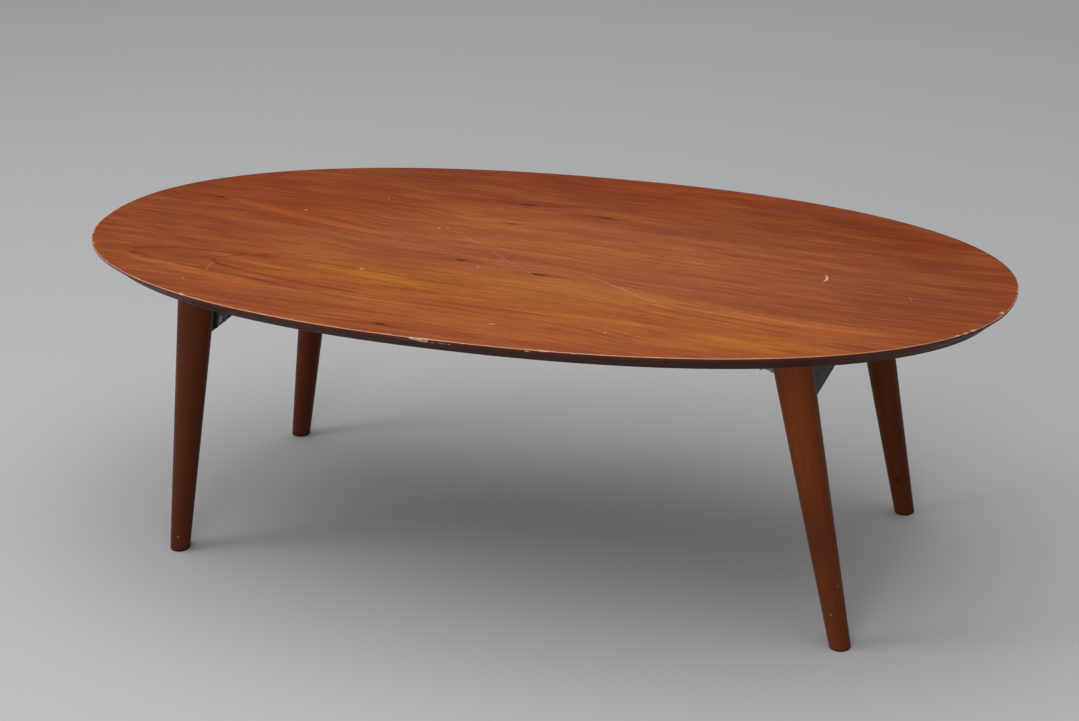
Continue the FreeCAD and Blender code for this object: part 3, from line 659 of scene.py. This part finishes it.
def colour_rim(tree, place, colour):
    """The rim. The arris is worn pale and carries a painted highlight, except at the back, where the edge's
    stain laps over the face, with painted shade where the arris turns away from the light.

    Gives the colour and a mask of the bare wood with its painted highlight."""
    split = put(tree, "SeparateXYZ", {"Vector": place})
    from_rim = measure_from_rim(tree, split)
    # A dark line along the rim at the back: partly the edge's stain lapping over the face, partly painted
    # shade where the rounded arris turns away from the light.
    at_back = ramp_between(tree, split.outputs["Y"], 0.02, 0.13)
    lapped_and_shaded = multiply(tree, calculate(tree, "LESS_THAN", from_rim, 0.0011), at_back)
    colour = tint(tree, colour, lapped_and_shaded, 0.75, EDGE_STAIN_AND_SHADE_ON_FACE)
    # The pale arris along the front and ends is partly worn wood and partly a painted highlight on its
    # rounding.
    highlit_arris_width = ramp_between(tree, put_noise(tree, place, 70.0, 4.0, 0.75), 0.38, 0.72, 0.0005, 0.0014)
    worn_and_highlit_arris = multiply(tree, calculate(tree, "LESS_THAN", from_rim, highlit_arris_width),
                      calculate(tree, "SUBTRACT", 1.0, at_back))
    highlit_arris_strength = ramp_between(tree, split.outputs["X"], 0.22, 0.36, 0.8, 0.55)
    rim_chips = place_rim_chips(tree, place)
    # This mask holds the worn wood with its painted highlight, and the real chips.
    bare = strongest(tree, [multiply(tree, worn_and_highlit_arris, highlit_arris_strength), rim_chips])
    side = ramp_between(tree, split.outputs["Z"], 0.32475, 0.32450)
    colour = tint(tree, colour, side, 0.9, EDGE_STAIN_ON_SIDE)
    on_top = calculate(tree, "MULTIPLY_ADD", side, -0.9, 1.0)
    shown_worn_and_highlit = strongest(tree, [multiply(tree, bare, on_top), rim_chips])
    return tint(tree, colour, shown_worn_and_highlit, 0.85, PALE_WOOD_AND_HIGHLIGHT), bare


def dress_shader(tree, shader, colour, roughness, specular=None):
    feed(tree, shader, "Base Color", colour)
    feed(tree, shader, "Roughness", roughness)
    if specular is not None:
        feed(tree, shader, "Specular IOR Level", specular)


def raise_grain(tree, shader, height, strength, sunk=False):
    """Raises the surface's shading by a height, or sinks it by that height."""
    bump = put(tree, "Bump", {"Height": height, "Strength": strength, "Distance": 0.0003}, invert=sunk)
    feed(tree, shader, "Normal", bump.outputs["Normal"])


def make_veneer_finish():
    finish, tree, shader = new_finish("satin_veneer")
    place = object_place(tree)
    grain = put(tree, "Mapping", {
        "Vector": place, "Location": (0.4056, 0.1346, -0.325), "Rotation": (0, 0, math.radians(4)),
    }).outputs[0]
    figure = slice_veneer(tree, place, grain)
    scratches = place_scratches(tree, place)
    chips = place_chips(tree, place)
    colour = colour_ground(tree, place, grain)
    colour = colour_rings(tree, place, grain, figure, colour)
    colour = colour_lines(tree, grain, figure, colour)
    colour = colour_stain_and_light(tree, place, colour)
    colour = colour_gum(tree, place, colour)
    colour = colour_wear(tree, place, scratches, chips, colour)
    colour, bare = colour_rim(tree, place, colour)
    gloss = ramp_between(tree, put_noise(tree, place, 14.0, 3.0, 0.6), 0.3, 0.7, 0.34, 0.46)
    roughness = calculate(tree, "MULTIPLY_ADD", strongest(tree, [bare, chips]), 0.25, gloss)
    dress_shader(tree, shader, colour, roughness, specular=0.14)
    height = calculate(tree, "SUBTRACT", multiply(tree, figure.outputs["Pores"], -0.5),
                       strongest(tree, [chips, scratches]))
    raise_grain(tree, shader, height, 0.12)
    return finish


veneer = add_oval("veneer_face", 0, veneer_low[2])
draw_out(veneer, veneer_high[2] - veneer_low[2])
round_edges_at(veneer, veneer_high[2], ARRIS_ROUND, ARRIS_STEPS)
finish_mesh(veneer, make_veneer_finish())
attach(veneer, "table_top")
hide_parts("top_veneer")


# Top core
# A laminated panel glued up from thin layers, whose edge is cut to a small lip and a long bevel. The edge
# is stained almost black and lacquered, and the veneer's reddish stain has run a little over the lip.
EDGE_INSET = 0.018
LIP_HEIGHT = 0.0014
LIP_ROUND = 0.0004
LIP_STEPS = 2
EDGE_BLACK = (0.032, 0.011, 0.008, 1)
EDGE_BROWN = (0.056, 0.019, 0.012, 1)
LIP_RED = (0.090, 0.018, 0.010, 1)
EDGE_CHIP = (0.50, 0.36, 0.29, 1)
EDGE_GRAZE = (0.40, 0.24, 0.20, 1)


def colour_front_chips(tree, place, y, colour):
    """Chips and one graze along the front of the edge. Their marks are x and height, seen from the front."""
    ragged = shift_by_noise(tree, place, 320.0, 3.0, 0.0035)
    face_on = put(tree, "Mapping", {"Vector": ragged, "Rotation": (math.radians(-90), 0, 0)}).outputs[0]
    front = ramp_between(tree, y, -0.235, -0.240)
    chips = place_marks(tree, face_on, [
        (-0.0240, 0.3222, -12, 0.0070, 0.0026, 0.0),
        (-0.0330, 0.3236, -14, 0.0060, 0.0009, 0.0),
        (-0.0180, 0.3229, 0, 0.0022, 0.0011, 0.0),
        (-0.0127, 0.3215, 0, 0.0016, 0.0009, 0.0),
        (-0.0030, 0.3217, -3, 0.0042, 0.0008, 0.0),
        (0.0050, 0.3214, 0, 0.0026, 0.0009, 0.0),
        (0.0840, 0.3232, 0, 0.0020, 0.0010, 0.0),
    ])
    colour = tint(tree, colour, multiply(tree, chips, front), 0.8, EDGE_CHIP)
    graze = place_marks(tree, face_on, [(-0.0431, 0.3218, -3, 0.0120, 0.0007, 0.0)])
    return tint(tree, colour, multiply(tree, graze, front), 0.30, EDGE_GRAZE)


def make_edge_finish():
    finish, tree, shader = new_finish("dark_edge_stain")
    place = object_place(tree)
    split = put(tree, "SeparateXYZ", {"Vector": place})
    cloud = put_noise(tree, place, 60.0, 4.0, 0.6)
    colour = blend_colours(tree, ramp_between(tree, cloud, 0.3, 0.7), EDGE_BLACK, EDGE_BROWN)
    colour = tint(tree, colour, ramp_between(tree, split.outputs["Z"], 0.3195, 0.3226), 0.85, LIP_RED)
    colour = colour_front_chips(tree, place, split.outputs["Y"], colour)
    dress_shader(tree, shader, colour, ramp_between(tree, cloud, 0.3, 0.7, 0.38, 0.55), specular=0.08)
    return finish


core_low, core_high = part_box("top_core")
inset_share = (1 - EDGE_INSET / HALF_LENGTH, 1 - EDGE_INSET / HALF_WIDTH, 1)
core = add_oval("laminated_core", 0, core_high[2])
draw_out(core, -LIP_HEIGHT)
draw_out(core, core_low[2] - core_high[2] + LIP_HEIGHT, inset_share)
round_edges_at(core, core_high[2] - LIP_HEIGHT, LIP_ROUND, LIP_STEPS)
finish_mesh(core, make_edge_finish(), 25)
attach(core, "table_top")
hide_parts("top_core")


# Underside sheet
# A brown balancing sheet glued below the core so that the panel stays flat. Its thin side is stained
# together with the core's edge.
SHEET_LIGHT = (0.17, 0.075, 0.035, 1)
SHEET_DARK = (0.10, 0.042, 0.02, 1)
SHEET_PORE = (0.04, 0.015, 0.008, 1)
SHEET_SIDE = (0.030, 0.013, 0.009, 1)


def make_backing_finish():
    finish, tree, shader = new_finish("backing_sheet")
    place = object_place(tree)
    grain = put(tree, "Mapping", {"Vector": place, "Location": (0, 0.3, 0)}).outputs[0]
    figure = use_group(tree, wood_figure, {
        "Vector": grain, "Heart Depth": 0.10, "Lean": 0.05, "Ring Spacing": 0.008, "Wander": 0.04,
    })
    rings = ramp_between(tree, figure.outputs["Rings"], 0.3, 0.7)
    colour = blend_colours(tree, rings, SHEET_LIGHT, SHEET_DARK)
    colour = tint(tree, colour, figure.outputs["Pores"], 0.5, SHEET_PORE)
    height = put(tree, "SeparateXYZ", {"Vector": place}).outputs["Z"]
    colour = blend_colours(tree, ramp_between(tree, height, 0.30702, 0.30712), colour, SHEET_SIDE)
    dress_shader(tree, shader, colour, 0.6)
    raise_grain(tree, shader, figure.outputs["Pores"], 0.15)
    return finish


sheet_low, sheet_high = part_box("underside_sheet")
balancing_sheet = add_oval("balancing_sheet", EDGE_INSET, sheet_low[2])
draw_out(balancing_sheet, sheet_high[2] - sheet_low[2])
finish_mesh(balancing_sheet, make_backing_finish())
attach(balancing_sheet, "table_top")
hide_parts("underside_sheet")


# Legs
# Round tapered hardwood, turned on a lathe, stained dark reddish brown and lacquered to a satin gloss. Each
# leg has taken the stain a little differently, and these differences also paint light and shade, with the
# front right leg lit and the front left shaded. Three have flecks, and the foot ends have worn dark, with
# painted contact shade at the floor.
CORNERS = ("front_left", "back_left", "front_right", "back_right")
SPLAY = math.radians(9.7)
LEG_LIGHT = (0.172, 0.0345, 0.0048, 1)
LEG_DARK = (0.066, 0.0138, 0.0030, 1)
LEG_LATE_WOOD = (0.065, 0.013, 0.005, 1)
LEG_STREAK = (0.06, 0.012, 0.005, 1)
LEG_PORE = (0.04, 0.009, 0.005, 1)
LIGHT_FLECK = (0.22, 0.12, 0.07, 1)
DARK_FLECK = (0.018, 0.007, 0.004, 1)
FOOT_WEAR_AND_CONTACT_SHADE = (0.018, 0.009, 0.006, 1)
# Partly painted light and shade: how lit or shaded each leg looks.
STAIN_AND_SHADE_DEPTHS = {"front_left": 0.58, "back_left": 0.38, "front_right": 0.04, "back_right": 0.22}
LIGHT_FLECKS = {
    "front_left": [(-0.3628, -0.1640, 0.0194, 0.0011)],
    "front_right": [(0.3661, -0.1602, 0.0721, 0.0013), (0.3608, -0.1648, 0.0414, 0.0010)],
}
DARK_FLECKS = {"back_right": [(0.3619, 0.1412, 0.0437, 0.0022)]}


def dress(node_name, finish):
    """Gives one CAD node its finish."""
    nodes[node_name].material_slots[0].material = finish


def colour_flecks(tree, place, flecks, colour, paint):
    """Lays small round flecks over a colour: x, y, z, radius."""
    masks = []
    for x, y, z, radius in flecks:
        away = put(tree, "VectorMath", {0: place, 1: (x, y, z)}, operation="DISTANCE").outputs["Value"]
        masks.append(ramp_between(tree, away, 1.3 * radius, 0.5 * radius))
    return blend_colours(tree, strongest(tree, masks), colour, paint) if masks else colour


def follow_leg(tree, place, lean, sideways):
    """The grain along one leg's own leaning axis, set off sideways into a part of the log of its own."""
    level = put(tree, "Mapping", {"Vector": place, "Location": sideways}).outputs[0]
    upright = put(tree, "Mapping", {"Vector": level, "Rotation": (0, lean, 0)}).outputs[0]
    return put(tree, "Mapping", {"Vector": upright, "Rotation": (0, math.radians(90), 0)}).outputs[0]


def make_leg_finish(corner):
    """The stain on one leg, darker towards its foot, with painted light and shade in how dark each leg is."""
    finish, tree, shader = new_finish(corner + "_leg_stain_and_shade")
    place = object_place(tree)
    way = -1 if corner.endswith("left") else 1
    along = follow_leg(tree, place, way * SPLAY, (-0.3 * way, 0.1, 0))
    figure = use_group(tree, wood_figure, {
        "Vector": along, "Heart Depth": 0.06, "Lean": 0.03, "Ring Spacing": 0.006, "Wander": 0.01,
    })
    height = put(tree, "SeparateXYZ", {"Vector": place}).outputs["Z"]
    cloudy = ramp_between(tree, put_streaks(tree, along, 6.0, 30.0, 3.0), 0.32, 0.68)
    # Each leg's depth is partly its stain and partly painted light and shade: the front right leg lightest as
    # if lit, the front left darkest as if shaded.
    stain = calculate(tree, "MULTIPLY_ADD", cloudy, 0.4, STAIN_AND_SHADE_DEPTHS[corner])
    stain = calculate(tree, "MULTIPLY_ADD", ramp_between(tree, height, 0.30, 0.10), 0.52, stain)
    colour = blend_colours(tree, stain, LEG_LIGHT, LEG_DARK)
    colour = tint(tree, colour, figure.outputs["Late Wood"], 0.2, LEG_LATE_WOOD)
    colour = tint(tree, colour, ramp_between(tree, figure.outputs["Streaks"], 0.48, 0.7), 0.25, LEG_STREAK)
    colour = tint(tree, colour, ramp_between(tree, figure.outputs["Fibres"], 0.48, 0.7), 0.22, LEG_STREAK)
    colour = tint(tree, colour, figure.outputs["Pores"], 0.4, LEG_PORE)
    ragged = shift_by_noise(tree, place, 500.0, 2.0, 0.0012)
    colour = colour_flecks(tree, ragged, LIGHT_FLECKS.get(corner, []), colour, LIGHT_FLECK)
    colour = colour_flecks(tree, ragged, DARK_FLECKS.get(corner, []), colour, DARK_FLECK)
    # The foot ends darkened: partly worn, partly painted contact shade where they stand on the floor.
    colour = tint(tree, colour, ramp_between(tree, height, 0.0045, 0.0005), 0.85, FOOT_WEAR_AND_CONTACT_SHADE)
    gloss = ramp_between(tree, put_noise(tree, place, 30.0, 3.0), 0.3, 0.7, 0.38, 0.5)
    dress_shader(tree, shader, colour, gloss, specular=0.1)
    raise_grain(tree, shader, figure.outputs["Pores"], 0.1, sunk=True)
    return finish


for corner in CORNERS:
    dress(corner + "_leg", make_leg_finish(corner))


# Cross rails
# A plain hardwood bar on edge between the two legs of a frame, housed and dowelled into them. It is
# stained a dark neutral brown.
RAIL_LIGHT = (0.064, 0.050, 0.038, 1)
RAIL_DARK = (0.038, 0.030, 0.024, 1)
RAIL_PORE = (0.015, 0.012, 0.010, 1)


def grain_across_table(tree):
    """The grain of a piece that lies along the table's width."""
    turn = (0, 0, math.radians(90))
    return put(tree, "Mapping", {"Vector": object_place(tree), "Rotation": turn}).outputs[0]


def make_rail_finish():
    finish, tree, shader = new_finish("rail_stain")
    figure = use_group(tree, wood_figure, {
        "Vector": grain_across_table(tree), "Heart Depth": 0.3, "Lean": 0.04, "Ring Spacing": 0.005,
        "Wander": 0.01,
    })
    rings = ramp_between(tree, figure.outputs["Rings"], 0.32, 0.68)
    colour = blend_colours(tree, rings, RAIL_LIGHT, RAIL_DARK)
    colour = tint(tree, colour, figure.outputs["Pores"], 0.5, RAIL_PORE)
    dress_shader(tree, shader, colour, 0.55, specular=0.2)
    raise_grain(tree, shader, figure.outputs["Pores"], 0.12, sunk=True)
    return finish


rail_finish = make_rail_finish()
for side in ("left", "right"):
    dress(side + "_rail", rail_finish)


# Rail dowels
# Beech pins, glued across each joint of rail and leg. They are out of sight in their bores, and their
# wood is left bare.
DOWEL_LIGHT = (0.60, 0.40, 0.22, 1)
DOWEL_DARK = (0.45, 0.28, 0.14, 1)


def make_dowel_finish():
    finish, tree, shader = new_finish("bare_beech")
    figure = use_group(tree, wood_figure, {
        "Vector": grain_across_table(tree), "Heart Depth": 0.3, "Lean": 0.02, "Ring Spacing": 0.002,
        "Wander": 0.002,
    })
    dress_shader(tree, shader, blend_colours(tree, figure.outputs["Rings"], DOWEL_LIGHT, DOWEL_DARK), 0.7)
    return finish


dowel_finish = make_dowel_finish()
for side in ("left", "right"):
    dress(side + "_rail_dowels", dowel_finish)


# Folding brackets
# Pressed from 1.6 mm sheet steel, bent and plated a dull dark grey. The base is screwed under the top and
# the arm to the rail, and a bent spring leaf stands on the arm's prongs while the legs are open.
PLATE_LIGHT = (0.20, 0.19, 0.185, 1)
PLATE_DARK = (0.12, 0.115, 0.115, 1)
SPRING_LIGHT = (0.27, 0.265, 0.26, 1)
SPRING_DARK = (0.18, 0.18, 0.18, 1)
PLATE_TARNISH = (0.12, 0.10, 0.085, 1)


def make_plate_bloom():
    """The fine crystals of a plated surface, and the larger clouds where it has dulled."""
    group, start, end = new_group("plate_bloom", {"Vector": ("Vector", None)}, ("Crystals", "Dulled"))
    feed(group, end, "Crystals", put_noise(group, start.outputs["Vector"], 220.0, 3.0, 0.6))
    feed(group, end, "Dulled", put_noise(group, start.outputs["Vector"], 45.0, 4.0, 0.65))
    return group


plate_bloom = make_plate_bloom()


def make_plated_finish(name, light, dark, smoothest, roughest):
    """Plated steel between a light and a dark grey. Its roughness lies between two values."""
    finish, tree, shader = new_finish(name)
    bloom = use_group(tree, plate_bloom, {"Vector": object_place(tree)})
    dulled = bloom.outputs["Dulled"]
    colour = blend_colours(tree, bloom.outputs["Crystals"], light, dark)
    colour = tint(tree, colour, ramp_between(tree, dulled, 0.55, 0.75), 0.5, PLATE_TARNISH)
    dress_shader(tree, shader, colour, ramp_between(tree, dulled, 0.3, 0.7, smoothest, roughest))
    feed(tree, shader, "Metallic", 1.0)
    return finish


plated_finish = make_plated_finish("dark_plate", PLATE_LIGHT, PLATE_DARK, 0.36, 0.55)
spring_finish = make_plated_finish("spring_plate", SPRING_LIGHT, SPRING_DARK, 0.30, 0.45)
for corner in CORNERS:
    dress(corner + "_bracket_base", plated_finish)
    dress(corner + "_bracket_arm", plated_finish)
    dress(corner + "_lock_spring", spring_finish)


# Rivets
# Plated steel. The pivot rivets are closed over the bracket's ears, and the spring rivets hold the leaf
# of each lock spring up to its bracket base.
RIVET_LIGHT = (0.40, 0.39, 0.38, 1)
RIVET_DARK = (0.26, 0.26, 0.26, 1)

rivet_finish = make_plated_finish("rivet_plate", RIVET_LIGHT, RIVET_DARK, 0.28, 0.42)
for corner in CORNERS:
    dress(corner + "_pivot_rivet", rivet_finish)
dress("spring_rivets", rivet_finish)


# Screws
# Countersunk wood screws of yellowish plated steel, with a cross recess for the driver. Three go up into
# the core through each bracket base, and four go into the rail through each bracket arm.
SCREW_LIGHT = (0.62, 0.60, 0.52, 1)
SCREW_DARK = (0.47, 0.45, 0.38, 1)
SCREW_HEAD_RADIUS = 0.0036
SCREW_SHANK_RADIUS = 0.0019
SCREW_HEAD_RIM = 0.0002
SCREW_HEAD_HEIGHT = 0.0020
SCREW_POINT = 0.003
SCREW_POINT_SHARE = 0.1
SCREW_LENGTH = 0.014
SCREW_SIDES = 28
RECESS_WIDTH = 0.0042
RECESS_GAP = 0.0009
RECESS_DEPTH = 0.0013
RECESS_BOTTOM_SHARE = 0.4
PIVOT_X = 0.297016
PIVOT_Z = 0.284565
BRACKET_Y = 0.119
PLATE_BOTTOM = 0.3054
WEB_FACE = 0.0104

# From the pivot towards the middle and aside, then below the pivot and aside
BASE_SCREW_PLACES = ((0.038, -0.006), (0.038, 0.006), (0.056, 0))
ARM_SCREW_PLACES = ((0.014, -0.0043), (0.014, 0.0043), (0.0245, -0.0043), (0.0245, 0.0043))


def cut_recess_slot(screw, turn):
    """Cuts one slot of the cross into the head, narrower towards its bottom."""
    bpy.ops.object.select_all(action="DESELECT")
    bpy.ops.mesh.primitive_cube_add(size=1)
    cutter = bpy.context.object
    bpy.ops.object.mode_set(mode="EDIT")
    bpy.ops.transform.resize(value=(RECESS_WIDTH, RECESS_GAP, 2 * RECESS_DEPTH), center_override=(0, 0, 0))
    bpy.ops.transform.rotate(value=turn, orient_axis="Z", center_override=(0, 0, 0))
    bpy.ops.object.mode_set(mode="OBJECT")
    for vertex in cutter.data.vertices:
        if vertex.co.z < 0:
            vertex.co.x *= RECESS_BOTTOM_SHARE
            vertex.co.y *= RECESS_BOTTOM_SHARE
    slot = screw.modifiers.new("recess", "BOOLEAN")
    slot.operation = "DIFFERENCE"
    slot.solver = "EXACT"
    slot.object = cutter
    bpy.ops.object.select_all(action="DESELECT")
    screw.select_set(True)
    bpy.context.view_layer.objects.active = screw
    bpy.ops.object.modifier_apply(modifier="recess")
    bpy.data.objects.remove(cutter)


def add_screw(finish):
    """One screw below the origin, with its head's face level with the ground."""
    bpy.ops.object.select_all(action="DESELECT")
    bpy.ops.mesh.primitive_circle_add(vertices=SCREW_SIDES, radius=SCREW_HEAD_RADIUS, fill_type="NGON")
    screw = bpy.context.object
    shank_share = SCREW_SHANK_RADIUS / SCREW_HEAD_RADIUS
    draw_out(screw, -SCREW_HEAD_RIM)
    draw_out(screw, SCREW_HEAD_RIM - SCREW_HEAD_HEIGHT, (shank_share, shank_share, 1))
    draw_out(screw, SCREW_HEAD_HEIGHT + SCREW_POINT - SCREW_LENGTH)
    draw_out(screw, -SCREW_POINT, (SCREW_POINT_SHARE, SCREW_POINT_SHARE, 1))
    finish_mesh(screw, finish, 30)
    cut_recess_slot(screw, 0)
    cut_recess_slot(screw, math.radians(90))
    return screw


def copy_screw(screw, place, turn):
    """A copy with its own mesh, turned about the table's width and moved to its place."""
    bpy.ops.object.select_all(action="DESELECT")
    screw.select_set(True)
    bpy.context.view_layer.objects.active = screw
    bpy.ops.object.duplicate()
    copy = bpy.context.object
    copy.rotation_euler = (0, turn, 0)
    copy.location = place
    bpy.ops.object.transform_apply(location=True, rotation=True, scale=True)
    return copy


def join_screws(name, copies, body, node_name):
    bpy.ops.object.select_all(action="DESELECT")
    for copy in copies:
        copy.select_set(True)
    bpy.context.view_layer.objects.active = copies[0]
    bpy.ops.object.join()
    copies[0].name = name
    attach(copies[0], body)
    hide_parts(node_name)


screw_finish = make_plated_finish("screw_plate", SCREW_LIGHT, SCREW_DARK, 0.25, 0.4)
screw = add_screw(screw_finish)
base_copies = []
for side, way in (("left", -1), ("right", 1)):
    arm_copies = []
    for bracket_y in (-BRACKET_Y, BRACKET_Y):
        for from_pivot, aside in BASE_SCREW_PLACES:
            place = (way * (PIVOT_X - from_pivot), bracket_y + aside, PLATE_BOTTOM)
            base_copies.append(copy_screw(screw, place, math.pi))
        for below, aside in ARM_SCREW_PLACES:
            x = PIVOT_X + WEB_FACE * math.cos(SPLAY) + below * math.sin(SPLAY)
            z = PIVOT_Z + WEB_FACE * math.sin(SPLAY) - below * math.cos(SPLAY)
            turn = -way * (math.pi / 2 + SPLAY)
            arm_copies.append(copy_screw(screw, (way * x, bracket_y + aside, z), turn))
    join_screws(side + "_arm_screw_set", arm_copies, side + "_legs", side + "_arm_screws")
join_screws("base_screw_set", base_copies, "table_top", "base_screws")
bpy.data.objects.remove(screw)
